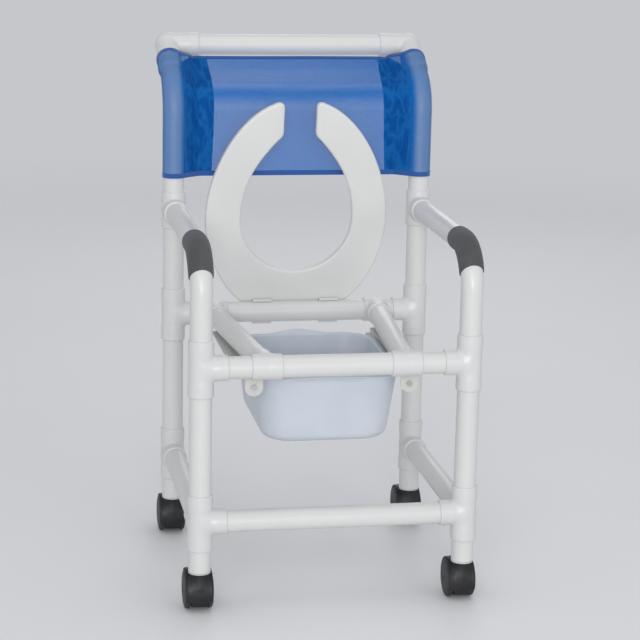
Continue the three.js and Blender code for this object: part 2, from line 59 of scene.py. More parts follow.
# ---- Lines of the frame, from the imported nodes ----

def span(node):
    low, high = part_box(node)
    return np.array(low) / MM, np.array(high) / MM


def middle(node):
    low, high = span(node)
    return (low + high) / 2


def half_size(node):
    low, high = span(node)
    return (high - low) / 2


HALF_WIDTH = middle("side_lower_bar_right")[0]
FRONT_Y, SEAT_Z = middle("front_seat_bar")[1:]
REAR_Y = middle("rear_seat_bar")[1]
LOWER_Z = middle("front_lower_bar")[2]
PUSH_BAR = middle("push_bar")
ARM_Z = middle("arm_tee_right")[2]
PIPE_R = half_size("front_lower_bar")[2]
FITTING_R = half_size("arm_tee_right")[0]
PIPE_END_Z = span("rear_post_left")[0][2]
TEE_HALF = half_size("rear_lower_tee_left")[2]
ARM_TEE_HALF = half_size("arm_tee_left")[2]
RAIL_TEE_HALF = half_size("rail_rear_tee_left")[0]
BRANCH = HALF_WIDTH - span("front_seat_tee_right")[0][0]
RAIL_REAR_X = middle("rail_rear_tee_right")[0]
RAIL_FRONT_X = middle("rail_front_tee_right")[0]
SLING_BOTTOM_Z = span("back_sling")[0][2]

PIPE_WALL = 4.0
BEND_R = 80.0
POST_BEND_Z = 931.0
ELBOW_LEG = 64.0
ELBOW_SOCKET = 32.0
post_bend = np.array([0, REAR_Y, POST_BEND_Z])
post_slope = PUSH_BAR - post_bend
post_slope[0] = 0
post_slope /= np.linalg.norm(post_slope)


# ---- Camera, lights and floor ----

def look(yaw, pitch, roll):
    """Axes of a camera that turns yaw degrees to +X from +Y, pitch degrees up, then rolls."""
    yaw, pitch, roll = map(math.radians, (yaw, pitch, roll))
    forward = Vector((math.sin(yaw) * math.cos(pitch), math.cos(yaw) * math.cos(pitch), math.sin(pitch)))
    level = Vector((math.cos(yaw), -math.sin(yaw), 0))
    above = level.cross(forward)
    right = math.cos(roll) * level + math.sin(roll) * above
    return Matrix((right, right.cross(forward), -forward)).transposed().to_4x4()


def camera():
    data = bpy.data.cameras.new("camera")
    data.sensor_width = 36
    data.lens = 113.1
    data.clip_end = 50
    eye = bpy.data.objects.new("camera", data)
    eye.matrix_world = Matrix.Translation((-0.7076, -3.8456, 1.3961)) @ look(10.747, -13.03, 1.233)
    bpy.context.scene.collection.objects.link(eye)
    bpy.context.scene.camera = eye


def area_light(name, place, target, size, power):
    data = bpy.data.lights.new(name, "AREA")
    data.shape = "DISK"
    data.size = size
    data.energy = power
    lamp = bpy.data.objects.new(name, data)
    lamp.location = place
    lamp.rotation_euler = (Vector(target) - Vector(place)).to_track_quat("-Z", "Y").to_euler()
    bpy.context.scene.collection.objects.link(lamp)


def studio():
    area_light("key", (-2.4, -6.4, 3.2), (0, 0, 0.5), 2.6, 74)
    area_light("fill", (2.8, -5.4, 1.8), (0, 0, 0.55), 2.4, 26)
    area_light("front", (-0.9, -7.4, 1.7), (0, 0, 0.5), 2.0, 150)
    area_light("top", (0.2, -0.6, 3.2), (0, -0.1, 0.4), 2.4, 9)
    area_light("back", (0.9, 3.4, 2.0), (0, 0, 0.7), 2.0, 12)
    world = bpy.data.worlds.new("studio")
    world.use_nodes = True
    world.node_tree.nodes["Background"].inputs["Color"].default_value = (0.93, 0.95, 1.0, 1)
    world.node_tree.nodes["Background"].inputs["Strength"].default_value = 0.6
    bpy.context.scene.world = world
    bpy.context.scene.view_settings.view_transform = "Standard"


# ---- Materials ----

def fill(node, **values):
    """Sets a node's sockets. An underscore stands for a space in a socket's name."""
    for socket, value in values.items():
        node.inputs[socket.replace("_", " ")].default_value = value


class Surface:
    """A Principled material, with a few helpers that add procedural nodes."""

    def __init__(self, name, **sockets):
        self.material = bpy.data.materials.new(name)
        self.material.use_nodes = True
        self.tree = self.material.node_tree
        self.shader = self.tree.nodes["Principled BSDF"]
        fill(self.shader, **sockets)

    def node(self, kind, **settings):
        made = self.tree.nodes.new(kind)
        for key, value in settings.items():
            setattr(made, key, value)
        return made

    def link(self, out, into):
        self.tree.links.new(out, into)

    def place(self, kind="Object"):
        return self.node("ShaderNodeTexCoord").outputs[kind]

    def noise(self, scale, detail=3.0, rough=0.5, stretch=(1, 1, 1), kind="Object"):
        mapping = self.node("ShaderNodeMapping")
        fill(mapping, Scale=stretch)
        self.link(self.place(kind), mapping.inputs["Vector"])
        texture = self.node("ShaderNodeTexNoise")
        fill(texture, Scale=scale, Detail=detail, Roughness=rough)
        self.link(mapping.outputs["Vector"], texture.inputs["Vector"])
        return texture.outputs["Fac"]

    def remap(self, value, low, high, new_low=0.0, new_high=1.0):
        node = self.node("ShaderNodeMapRange")
        fill(node, From_Min=low, From_Max=high, To_Min=new_low, To_Max=new_high)
        self.link(value, node.inputs["Value"])
        return node.outputs["Result"]

    def maths(self, operation, first, second=None):
        node = self.node("ShaderNodeMath", operation=operation)
        for socket, value in zip(node.inputs, (first, second)):
            if isinstance(value, (int, float)):
                socket.default_value = value
            elif value is not None:
                self.link(value, socket)
        return node.outputs[0]

    def blend(self, factor, first, second):
        node = self.node("ShaderNodeMix", data_type="RGBA")
        self.link(factor, node.inputs["Factor"])
        for socket, colour in ((node.inputs["A"], first), (node.inputs["B"], second)):
            if isinstance(colour, tuple):
                socket.default_value = (*colour, 1)
            else:
                self.link(colour, socket)
        return node.outputs["Result"]

    def bumps(self, *layers):
        """Each layer is (height, strength, distance in millimetres)."""
        normal = None
        for height, strength, distance in layers:
            node = self.node("ShaderNodeBump")
            fill(node, Strength=strength, Distance=distance * MM)
            self.link(height, node.inputs["Height"])
            if normal is not None:
                self.link(normal, node.inputs["Normal"])
            normal = node.outputs["Normal"]
        self.link(normal, self.shader.inputs["Normal"])

    def colour(self, value):
        self.link(value, self.shader.inputs["Base Color"])

    def roughness(self, value):
        self.link(value, self.shader.inputs["Roughness"])


def grime(surface, clean, dirty, top=260.0):
    """Colour that is a little dirtier in patches, and more so close to the floor."""
    height = surface.node("ShaderNodeSeparateXYZ")
    surface.link(surface.place(), height.inputs[0])
    low = surface.remap(height.outputs["Z"], 0.0, top * MM, 0.45, 0.06)
    patches = surface.remap(surface.noise(14, 4, 0.6), 0.45, 0.75)
    return surface.blend(surface.maths("MULTIPLY", low, patches), clean, dirty)


def white_plastic(name, clean, dirty, rough):
    surface = Surface(name, IOR=1.5)
    fleck = surface.noise(260, 2, 0.5)
    cloudy = surface.remap(surface.noise(6, 3, 0.5), 0.35, 0.65)
    shade = tuple(c * 0.98 for c in clean)
    surface.colour(surface.blend(cloudy, grime(surface, clean, dirty), grime(surface, shade, dirty)))
    scuffs = surface.noise(12, 2, 0.5)
    surface.roughness(surface.remap(scuffs, 0.35, 0.7, rough - 0.01, rough + 0.03))
    surface.bumps((fleck, 0.02, 0.1))
    return surface.material


def grip_foam():
    surface = Surface("grip_foam", Roughness=0.85, IOR=1.4, Sheen_Weight=0.1, Sheen_Roughness=0.6)
    cells = surface.node("ShaderNodeTexVoronoi")
    fill(cells, Scale=900)
    surface.link(surface.place(), cells.inputs["Vector"])
    pits = surface.remap(cells.outputs["Distance"], 0.0, 0.7)
    worn = surface.remap(surface.noise(28, 5, 0.65), 0.42, 0.7)
    surface.colour(surface.blend(worn, (0.066, 0.067, 0.070), (0.086, 0.087, 0.090)))
    surface.bumps((pits, 0.35, 0.35), (surface.noise(120, 4, 0.6), 0.3, 0.6))
    return surface.material


THREAD_PITCH = 1.35  # between the sling's yarns, along and across


def ridges(surface, scale, width, stretch):
    """Thin wandering lines, 1 on the line and 0 away from it."""
    noise = surface.noise(scale, 2, 0.5, stretch, "UV")
    from_middle = surface.maths("ABSOLUTE", surface.maths("SUBTRACT", noise, 0.5))
    return surface.remap(from_middle, 0.0, width, 1.0, 0.0)


def woven(surface, pitch):
    """(openness 0 to 1, yarn height) of a leno mesh laid out in the cloth's own metres."""
    parts = surface.node("ShaderNodeSeparateXYZ")
    surface.link(surface.place("UV"), parts.inputs[0])
    turns = 2 * math.pi / (pitch * MM)
    waves = []
    for axis in ("X", "Y"):
        phase = surface.maths("MULTIPLY", parts.outputs[axis], turns)
        waves.append(surface.maths("COSINE", phase))
    across, lengthways = (surface.remap(w, -1, 1) for w in waves)
    height = surface.maths("MAXIMUM", across, lengthways)
    beside = [surface.maths("SUBTRACT", 1.0, yarn) for yarn in (across, lengthways)]
    gap = surface.maths("MULTIPLY", *beside)
    return surface.remap(gap, 0.17, 0.42), height


def sling_mesh():
    """Open mesh; where the cloth is wrapped round and doubled it is close and darker, partly from painted
    shade, with creases that carry painted highlights. Painted shade darkens the cloth in front of the wrapped
    layer, and painted light brightens it over the posts.
    """
    surface = Surface("sling_mesh", Roughness=0.7, IOR=1.3, Specular_IOR_Level=0.25)
    openness, height = woven(surface, THREAD_PITCH)
    doubled = surface.node("ShaderNodeAttribute", attribute_name="doubled").outputs["Fac"]
    yarn = surface.remap(surface.noise(260, 3, 0.6), 0.3, 0.7)
    faded = surface.remap(surface.noise(9, 3, 0.5), 0.35, 0.65)
    tone = surface.blend(yarn, (0.002, 0.130, 0.47), (0.006, 0.165, 0.55))
    tone = surface.blend(faded, tone, (0.004, 0.15, 0.50))
    shade = surface.node("ShaderNodeAttribute", attribute_name="shade").outputs["Fac"]
    # Crease lines: bumps on the cloth, and lighter streaks in the band colours below, which are painted
    # highlights.
    long_creases_and_highlights = ridges(surface, 22, 0.06, (1, 0.5, 1))
    short_creases_and_highlights = ridges(surface, 41, 0.05, (1.3, 0.4, 1))
    creases = surface.maths("MAXIMUM", long_creases_and_highlights, short_creases_and_highlights)
    # Painted light: where shade is positive, over the fronts of the posts, the cloth is painted lighter.
    tone = surface.blend(surface.remap(shade, 0, 1), tone, (0.14, 0.27, 0.54))
    # Painted shade: where shade is -1, in front of the wrapped layer, the cloth is painted darker for the
    # shaded layer behind it; its creases carry painted highlights.
    band = surface.blend(creases, (0.0, 0.095, 0.38), (0.008, 0.15, 0.48))
    tone = surface.blend(surface.remap(shade, 0, -1), tone, band)
    # The wrapped, doubled layer's dark colour is partly its double cloth and partly painted shade; its
    # creases carry painted highlights.
    deep_painted_shade = surface.blend(creases, (0.0, 0.05, 0.23), (0.002, 0.09, 0.34))
    surface.colour(surface.blend(doubled, tone, deep_painted_shade))
    closed = surface.maths("MAXIMUM", surface.remap(openness, 0, 1, 1.0, 0.0), doubled)
    surface.link(closed, surface.shader.inputs["Alpha"])
    surface.bumps((height, 0.5, 0.3), (creases, 0.35, 0.8))
    return surface.material


def sling_tape():
    surface = Surface("sling_tape", Roughness=0.7, Sheen_Weight=0.3)
    wave = surface.node("ShaderNodeTexWave")
    fill(wave, Scale=320, Distortion=0.6)
    surface.link(surface.place("UV"), wave.inputs["Vector"])
    rib = wave.outputs["Fac"]
    surface.colour(surface.blend(rib, (0.004, 0.062, 0.27), (0.008, 0.09, 0.36)))
    surface.bumps((rib, 0.4, 0.25), (surface.noise(90, 3, 0.5), 0.2, 0.5))
    return surface.material


def seat_plastic():
    surface = Surface("seat_plastic", IOR=1.5)
    peel = surface.noise(220, 2, 0.5)
    cloudy = surface.remap(surface.noise(7, 3, 0.55), 0.35, 0.65)
    surface.colour(surface.blend(cloudy, (0.71, 0.71, 0.69), (0.68, 0.68, 0.665)))
    rubbed = surface.noise(45, 6, 0.7)
    surface.roughness(surface.remap(rubbed, 0.35, 0.7, 0.32, 0.5))
    surface.bumps((peel, 0.1, 0.3), (surface.noise(25, 3, 0.5), 0.1, 0.8))
    return surface.material


def pail_plastic():
    surface = Surface("pail_plastic", IOR=1.5, Subsurface_Weight=0.35)
    fill(surface.shader, Subsurface_Radius=(0.02, 0.022, 0.026))
    cloudy = surface.remap(surface.noise(11, 4, 0.55), 0.35, 0.65)
    surface.colour(surface.blend(cloudy, (0.54, 0.585, 0.645), (0.58, 0.625, 0.68)))
    flow = surface.noise(70, 5, 0.65, stretch=(1, 1, 0.2))
    surface.roughness(surface.remap(flow, 0.3, 0.7, 0.3, 0.46))
    surface.bumps((surface.noise(500, 2, 0.5), 0.08, 0.2), (flow, 0.12, 0.5))
    return surface.material


def dark_plastic(name, dark, light, rough, grain):
    surface = Surface(name, IOR=1.5)
    dust = surface.remap(surface.noise(32, 5, 0.65), 0.45, 0.72)
    surface.colour(surface.blend(dust, dark, light))
    surface.roughness(surface.remap(surface.noise(80, 4, 0.6), 0.3, 0.7, rough - 0.06, rough + 0.12))
    surface.bumps((surface.noise(grain, 3, 0.6), 0.25, 0.25))
    return surface.material


def screw_steel():
    surface = Surface("screw_steel", Metallic=1.0)
    brushed = surface.noise(700, 3, 0.6, stretch=(1, 1, 0.1))
    surface.colour(surface.blend(brushed, (0.42, 0.42, 0.43), (0.6, 0.6, 0.61)))
    surface.roughness(surface.remap(brushed, 0.3, 0.7, 0.25, 0.42))
    surface.bumps((brushed, 0.15, 0.1))
    return surface.material


FLOOR_HALF = 6000.0


def floor_paint():
    """Pale paint that fades out well away from the chair, so that no horizon shows."""
    surface = Surface("floor_paint", Roughness=0.6)
    distance = surface.node("ShaderNodeVectorMath", operation="LENGTH")
    surface.link(surface.place(), distance.inputs[0])
    surface.link(surface.remap(distance.outputs["Value"], 1.6, 5.5, 1.0, 0.0), surface.shader.inputs["Alpha"])
    soft = surface.noise(1.5, 2, 0.5)
    surface.colour(surface.blend(soft, (0.78, 0.78, 0.785), (0.82, 0.82, 0.825)))
    surface.bumps((surface.noise(300, 2, 0.5), 0.03, 0.3))
    return surface.material


MATERIALS = {
    "pipe_plastic": white_plastic("pipe_plastic", (0.665, 0.665, 0.65), (0.53, 0.52, 0.49), 0.32),
    "fitting_plastic": white_plastic("fitting_plastic", (0.655, 0.655, 0.645), (0.52, 0.51, 0.48), 0.33),
    "glide_plastic": white_plastic("glide_plastic", (0.58, 0.575, 0.545), (0.45, 0.44, 0.41), 0.4),
    "grip_foam": grip_foam(),
    "sling_mesh": sling_mesh(),
    "sling_tape": sling_tape(),
    "seat_plastic": seat_plastic(),
    "pail_plastic": pail_plastic(),
    "caster_hood": dark_plastic("caster_hood", (0.006, 0.0065, 0.0075), (0.014, 0.014, 0.016), 0.5, 700),
    "caster_wheel": dark_plastic("caster_wheel", (0.019, 0.018, 0.022), (0.040, 0.038, 0.042), 0.5, 500),
    "screw_steel": screw_steel(),
}


# ---- Meshes ----

def mesh_piece(name, points, faces, material, normals=None, crease=38.0):
    """A smooth-shaded object from points in millimetres."""
    mesh = bpy.data.meshes.new(name)
    mesh.from_pydata((np.asarray(points, float) * MM).tolist(), [], [list(map(int, f)) for f in faces])
    mesh.validate()
    mesh.shade_smooth()
    if normals is None:
        mesh.set_sharp_from_angle(angle=math.radians(crease))
    else:
        mesh.normals_split_custom_set_from_vertices(normals.tolist())
    mesh.materials.append(MATERIALS[material])
    piece = bpy.data.objects.new(name, mesh)
    bpy.context.scene.collection.objects.link(piece)
    return piece


def settle(piece, body, nodes=(), slot=None):
    """The piece rides on a body, and stands for CAD nodes."""
    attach(piece, body)
    if nodes:
        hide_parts(*nodes)
    slot or piece.data.materials[0].name.split(".")[0]
    return piece


def grid_faces(rows, columns, wrap_rows=False, wrap_columns=True):
    """Quads over a grid of points numbered row by row."""
    faces = []
    for i in range(rows if wrap_rows else rows - 1):
        for j in range(columns if wrap_columns else columns - 1):
            i2, j2 = (i + 1) % rows, (j + 1) % columns
            faces.append((i * columns + j, i * columns + j2, i2 * columns + j2, i2 * columns + j))
    return faces


def loft(name, rings, material, closed=False, crease=38.0):
    """Quads between successive rings of points: closed joins the last ring to the first, and
    otherwise each end is capped."""
    rings = np.array(rings)
    count, size = rings.shape[:2]
    faces = grid_faces(count, size, wrap_rows=closed)
    if not closed:
        faces.append(list(range(size))[::-1])
        faces.append([(count - 1) * size + j for j in range(size)])
    return mesh_piece(name, rings.reshape(-1, 3), faces, material, crease=crease)


def unit(vector):
    return vector / np.linalg.norm(vector)


class Route:
    """Straight lines between points, in one plane, with an arc of the given radius at each corner."""

    def __init__(self, points, radius=BEND_R):
        points = [np.asarray(p, float) for p in points]
        heads = [unit(b - a) for a, b in zip(points, points[1:])]
        if len(heads) > 1:
            self.side = unit(np.cross(heads[0], heads[1]))
        else:
            self.side = X if abs(heads[0][0]) < 0.7 else Z
            self.side = unit(self.side - heads[0] * (self.side @ heads[0]))
        self.parts = []
        self.length = 0.0
        start = points[0]
        for corner, before, after in zip(points[1:-1], heads, heads[1:]):
            turn = math.acos(np.clip(before @ after, -1, 1))
            inset = radius * math.tan(turn / 2)
            enter = corner - before * inset
            self._add("line", start, before, np.linalg.norm(enter - start))
            self._add("arc", enter, before, radius * turn, unit(after - before * (before @ after)), radius)
            start = corner + after * inset
        self._add("line", start, heads[-1], np.linalg.norm(points[-1] - start))

    def _add(self, kind, start, heading, length, inward=None, radius=None):
        self.parts.append((kind, self.length, start, heading, length, inward, radius))
        self.length += length

    def at(self, distance):
        """(point, heading) at that distance along the route."""
        part = [p for p in self.parts if p[1] <= distance + 1e-6][-1] if distance > 0 else self.parts[0]
        kind, begin, start, heading, _, inward, radius = part
        along = distance - begin
        if kind == "line":
            return start + heading * along, heading
        angle = along / radius
        ahead = heading * math.cos(angle) + inward * math.sin(angle)
        return start + heading * radius * math.sin(angle) + inward * radius * (1 - math.cos(angle)), ahead

    def stops(self, low, high, arc_step=4.0, line_step=60.0):
        """Distances from low to high that follow every arc closely."""
        marks = {low, high}
        for kind, begin, _, _, length, _, _ in self.parts:
            steps = max(1, math.ceil(length / (arc_step if kind == "arc" else line_step)))
            marks.update(begin + length * k / steps for k in range(steps + 1))
        return sorted(m for m in marks if low <= m <= high)

    def ring(self, distance, radius, sides=48, shift=None):
        """A circle of points round the route. shift gives each angle its own further distance."""
        angles = np.arange(sides) * 2 * math.pi / sides
        places = np.full(sides, distance) if shift is None else distance + shift(angles)
        radii = radius if np.ndim(radius) else np.full(sides, radius)
        ring = []
        for angle, place, r in zip(angles, places, radii):
            point, heading = self.at(place)
            outward = np.cross(self.side, heading)
            ring.append(point + r * (math.cos(angle) * self.side + math.sin(angle) * outward))
        return np.array(ring)


def pipe_mesh(name, points, radius=BEND_R, edge=0.8):
    """A pipe with its wall, its two ends slightly rounded."""
    line = Route(points, radius)
    inner = PIPE_R - PIPE_WALL
    stops = line.stops(edge, line.length - edge)
    rings = [line.ring(0, PIPE_R - edge)]
    rings += [line.ring(s, PIPE_R) for s in stops]
    rings += [line.ring(line.length, PIPE_R - edge), line.ring(line.length, inner)]
    rings += [line.ring(s, inner) for s in stops[::-1]]
    rings.append(line.ring(0, inner))
    return loft(name, rings, "pipe_plastic", closed=True)


def turned(name, centre, axis, profile, material, sides=64, crease=30.0):
    """A solid of revolution: profile is a list of (radius, distance along the axis), from axis to axis."""
    side = unit(np.cross(axis, Z if abs(axis[2]) < 0.7 else X))
    up = np.cross(side, axis)
    angles = np.arange(sides) * 2 * math.pi / sides
    circle = np.cos(angles)[:, None] * side + np.sin(angles)[:, None] * up
    rings = [centre + axis * along + circle * max(radius, 0.05) for radius, along in profile]
    return loft(name, rings[::-1], material, crease=crease)


# ---- Smooth solids from distance functions ----

def surface_net(distance, low, high, cell):
    """Quads over the zero surface of a distance function, one point in each cell that it crosses.
    The points are then moved onto the surface, and its gradient gives the normals."""
    axes = [np.arange(a - 1.5 * cell, b + 2.5 * cell, cell) for a, b in zip(low, high)]
    grid = np.stack(np.meshgrid(*axes, indexing="ij"), -1)
    value = distance(grid.reshape(-1, 3)).reshape(grid.shape[:3])
    inside = value < 0
    cells = tuple(n - 1 for n in value.shape)
    total, hits = np.zeros((*cells, 3)), np.zeros(cells)
    quads = []
    for axis in range(3):
        order = (axis, (axis + 1) % 3, (axis + 2) % 3)
        v, g = value.transpose(order), grid.transpose(*order, 3)
        t, h = total.transpose(*order, 3), hits.transpose(order)
        crossing = (v[:-1] < 0) != (v[1:] < 0)
        share = np.where(crossing, v[:-1] / np.where(crossing, v[:-1] - v[1:], 1), 0)
        points = g[:-1] + (g[1:] - g[:-1]) * share[..., None]
        for j in (0, 1):
            for k in (0, 1):
                near = (slice(None), slice(j, j + t.shape[1]), slice(k, k + t.shape[2]))
                t += points[near] * crossing[near][..., None]
                h += crossing[near]
    active = hits > 0
    index = np.full(cells, -1)
    index[active] = np.arange(active.sum())
    points = total[active] / hits[active][:, None]
    for axis in range(3):
        order = (axis, (axis + 1) % 3, (axis + 2) % 3)
        s, i = inside.transpose(order), index.transpose(order)
        crossing = (s[:-1] != s[1:])[:, 1:-1, 1:-1]
        corners = np.stack([i[:, :-1, :-1], i[:, 1:, :-1], i[:, 1:, 1:], i[:, :-1, 1:]], -1)[crossing]
        backwards = s[1:, 1:-1, 1:-1][crossing]
        corners[backwards] = corners[backwards][:, ::-1]
        quads.append(corners)
    for _ in range(2):
        value, gradient = distance(points), slope(distance, points)
        steepness = (gradient ** 2).sum(1)[:, None].clip(0.2)
        points = points - np.clip(value, -cell, cell)[:, None] * gradient / steepness
    normals = slope(distance, points)
    return points, np.concatenate(quads), normals / np.linalg.norm(normals, axis=1)[:, None].clip(1e-9)


def slope(distance, points, step=0.05):
    """The distance function's gradient at each point."""
    rises = [distance(points + axis * step) - distance(points - axis * step) for axis in (X, Y, Z)]
    return np.stack(rises, -1) / (2 * step)


def smooth_min(a, b, radius):
    h = np.clip(radius - np.abs(a - b), 0, None) / radius
    return np.minimum(a, b) - h * h * radius / 4


def smooth_max(a, b, radius):
    return -smooth_min(-a, -b, radius)


def ease(t):
    """0 to 1 with a level start and end."""
    return t * t * (3 - 2 * t)


def soft_corner(a, b, edge):
    """Distance to a corner rounded by edge, from the distances past two faces that are set in by it."""
    return np.hypot(a.clip(0), b.clip(0)) + np.minimum(np.maximum(a, b), 0) - edge


def capped(radial, along, radius, half, edge):
    """Distance to a cylinder of half length half with rounded rims, from radial and axial offsets."""
    return soft_corner(radial - (radius - edge), np.abs(along) - (half - edge), edge)


MOUTH = 34.0  # length of a fitting's wider mouth, with its ramp
MOUTH_RAMP = 16.0
BODY_DROP = 1.0  # the fittings' bodies are slimmer than their mouths by this


def sleeve(points, start, end, mouths, edge=2.6):
    """A round socket body from start to end, a little wider towards each mouth, with soft rims."""
    start, end = np.asarray(start, float), np.asarray(end, float)
    axis, length = unit(end - start), np.linalg.norm(end - start)
    offset = points - start
    along = offset @ axis
    radial = np.linalg.norm(offset - along[:, None] * axis, axis=1)
    radius = np.full(len(points), FITTING_R - BODY_DROP)
    for at_mouth, depth in zip(mouths, (along, length - along)):
        if at_mouth:
            radius = radius + BODY_DROP * ease(np.clip((MOUTH - depth) / MOUTH_RAMP, 0, 1))
    return capped(radial, along - length / 2, radius, length / 2, edge)


FILLET = 7.0
NET_CELL = 2.4


def fitting(name, distance, ends):
    """A frame fitting from its distance function and the centres of its mouths."""
    low, high = np.min(ends, 0) - FITTING_R, np.max(ends, 0) + FITTING_R
    points, quads, normals = surface_net(distance, low, high, NET_CELL)
    settle(mesh_piece(name + "_shell", points, quads, "fitting_plastic", normals), "frame", [name])


def tee_piece(name, centre, run, run_half, branches):
    """A slip tee or three-way corner, with a soft fillet where its branches leave the run."""
    centre = np.asarray(centre, float)

    def distance(points):
        shape = sleeve(points, centre - run * run_half, centre + run * run_half, (True, True))
        for branch in branches:
            arm = sleeve(points, centre, centre + branch * BRANCH, (False, True))
            shape = smooth_min(shape, arm, FILLET)
        return shape

    ends = [centre + run * run_half, centre - run * run_half] + [centre + b * BRANCH for b in branches]
    fitting(name, distance, ends)


def elbow_piece(side, sign):
    """Two sleeves at right angles that meet in a round knuckle."""
    corner = np.array([sign * HALF_WIDTH, PUSH_BAR[1], PUSH_BAR[2]])
    legs = (np.array([-sign, 0.0, 0.0]), -post_slope)

    def distance(points):
        shape = np.linalg.norm(points - corner, axis=1) - FITTING_R
        for leg in legs:
            shape = smooth_min(shape, sleeve(points, corner, corner + leg * ELBOW_LEG, (False, True)), 3.0)
        return shape

    fitting(f"push_elbow_{side}", distance, [corner + leg * ELBOW_LEG for leg in legs] + [corner])


# ---- Frame ----

PIPE_START = 25.0
PIPE_SHORT = ELBOW_SOCKET + 0.8  # from the elbow's corner to the pipe's end


def rail_line(sign):
    """A seat rail's rear and front ends on the bars' axes, and its direction forwards."""
    rear = np.array([sign * RAIL_REAR_X, REAR_Y, SEAT_Z])
    front = np.array([sign * RAIL_FRONT_X, FRONT_Y, SEAT_Z])
    return rear, front, unit(front - rear)


def pipes():
    for side, sign in SIDES.items():
        x = sign * HALF_WIDTH
        corner = np.array([x, PUSH_BAR[1], PUSH_BAR[2]])
        slope_end = corner - post_slope * PIPE_SHORT
        rear, front, forward = rail_line(sign)
        lines = {
            "rear_post": [(x, REAR_Y, PIPE_END_Z), (x, REAR_Y, POST_BEND_Z), slope_end],
            "arm_and_leg": [(x, FRONT_Y, PIPE_END_Z), (x, FRONT_Y, ARM_Z), (x, REAR_Y - PIPE_START, ARM_Z)],
            "side_lower_bar": [(x, FRONT_Y + PIPE_START, LOWER_Z), (x, REAR_Y - PIPE_START, LOWER_Z)],
            "seat_rail": [rear + forward * PIPE_START, front - forward * PIPE_START],
        }
        for name, points in lines.items():
            piece = pipe_mesh(f"{name}_{side}_pipe", points)
            settle(piece, "frame", [f"{name}_{side}"])
    ends = {
        "push_bar": (PUSH_BAR[1], PUSH_BAR[2], PIPE_SHORT),
        "front_lower_bar": (FRONT_Y, LOWER_Z, PIPE_START),
        "front_seat_bar": (FRONT_Y, SEAT_Z, PIPE_START),
        "rear_seat_bar": (REAR_Y, SEAT_Z, PIPE_START),
    }
    for name, (y, z, inset) in ends.items():
        half = HALF_WIDTH - inset
        settle(pipe_mesh(name + "_pipe", [(-half, y, z), (half, y, z)]), "frame", [name])


def fittings():
    for side, sign in SIDES.items():
        x = sign * HALF_WIDTH
        inward = np.array([-sign, 0.0, 0.0])
        tee_piece(f"arm_tee_{side}", (x, REAR_Y, ARM_Z), Z, ARM_TEE_HALF, [-Y])
        tee_piece(f"rear_lower_tee_{side}", (x, REAR_Y, LOWER_Z), Z, TEE_HALF, [-Y])
        tee_piece(f"front_lower_tee_{side}", (x, FRONT_Y, LOWER_Z), Z, TEE_HALF, [inward, Y])
        tee_piece(f"front_seat_tee_{side}", (x, FRONT_Y, SEAT_Z), Z, TEE_HALF, [inward])
        tee_piece(f"rear_seat_tee_{side}", (x, REAR_Y, SEAT_Z), Z, TEE_HALF, [inward])
        rear, front, forward = rail_line(sign)
        tee_piece(f"rail_rear_tee_{side}", rear, X, RAIL_TEE_HALF, [forward])
        tee_piece(f"rail_front_tee_{side}", front, X, RAIL_TEE_HALF, [-forward])
        elbow_piece(side, sign)


GRIP_R = 23.6
GRIP_REAR = 112.0  # from the leg's axis back to the grip's rear end
GRIP_TURN = 66.0  # degrees of the bend that the grip covers
GRIP_CUT = 8.0  # the lower end is cut this much shorter in front, and longer behind


def arm_grip(side, sign):
    """Foam pushed over the bend, a little plump, with shallow folds on the inside of the bend."""
    x = sign * HALF_WIDTH
    line = Route([(x, FRONT_Y + GRIP_REAR, ARM_Z), (x, FRONT_Y, ARM_Z), (x, FRONT_Y, PIPE_END_Z)])
    straight = GRIP_REAR - BEND_R
    length = straight + BEND_R * math.radians(GRIP_TURN)
    sides = 64
    towards_bend = np.sin(np.arange(sides) * 2 * math.pi / sides)

    def radius_at(distance):
        end = min(distance, length - distance)
        plump = 0.7 * (1 - math.exp(-max(end, 0) / 9))
        folds = 0.5 * math.sin(distance * 2 * math.pi / 13) if straight < distance < length - 12 else 0
        return GRIP_R - 0.4 + plump + folds * np.clip(towards_bend, 0, 1) ** 2

    def ring(distance, radius):
        share = np.clip((distance / length - 0.5) / 0.5, 0, 1) ** 2
        return line.ring(distance, radius, sides, shift=lambda angles: share * GRIP_CUT * np.sin(angles))

    stops = np.linspace(1.6, length - 1.6, 60)
    bore = PIPE_R + 0.15
    rings = [ring(0, radius_at(0) - 2.0), ring(0.5, radius_at(0) - 0.7)]
    rings += [ring(s, radius_at(s)) for s in stops]
    rings += [ring(length - 0.5, radius_at(length) - 0.7), ring(length, radius_at(length) - 2.0)]
    rings += [ring(length, bore)] + [ring(s, bore) for s in stops[::-1]] + [ring(0, bore)]
    piece = loft(f"grip_{side}", rings, "grip_foam", closed=True)
    settle(piece, "frame", [f"arm_grip_{side}"])


# ---- Back sling ----

SLING_TOP = 24.0  # from the push bar's axis down the slope to the cloth's top edge
SLEEVE_TOP = 49.0  # and down to the sleeves' top edges
SLEEVE_R = PIPE_R + 1.2
SLEEVE_STRETCH = 3.1  # the sleeve is that much wider over the elbow
PANEL_DEPTH = 13.2  # the middle of the cloth hangs this far behind the posts' axes
HEM_DEPTH = 15.2
CLOTH = 1.1
SEAM_X = 203.0
HEM_X = {-1: 171.0, 1: 180.0}  # where the wrapped layer ends inside, left and right
SAG = 5.0
WRAPPED = 9  # columns of each side in the wrapped layer
AROUND = 40  # columns round the post
FACING = 9  # columns from the post to the hem, in front of the wrapped layer
PANEL = 21  # columns from the hem to the middle


def sling_route():
    return Route([(0, REAR_Y, SLING_BOTTOM_Z), (0, REAR_Y, POST_BEND_Z), (0, PUSH_BAR[1], PUSH_BAR[2])])


def tangent_angle(point, centre, radius, sign):
    """Direction from the centre to where a line from the point touches the circle."""
    offset = np.subtract(point, centre)
    return math.atan2(offset[1], offset[0]) + sign * math.acos(radius / np.linalg.norm(offset))


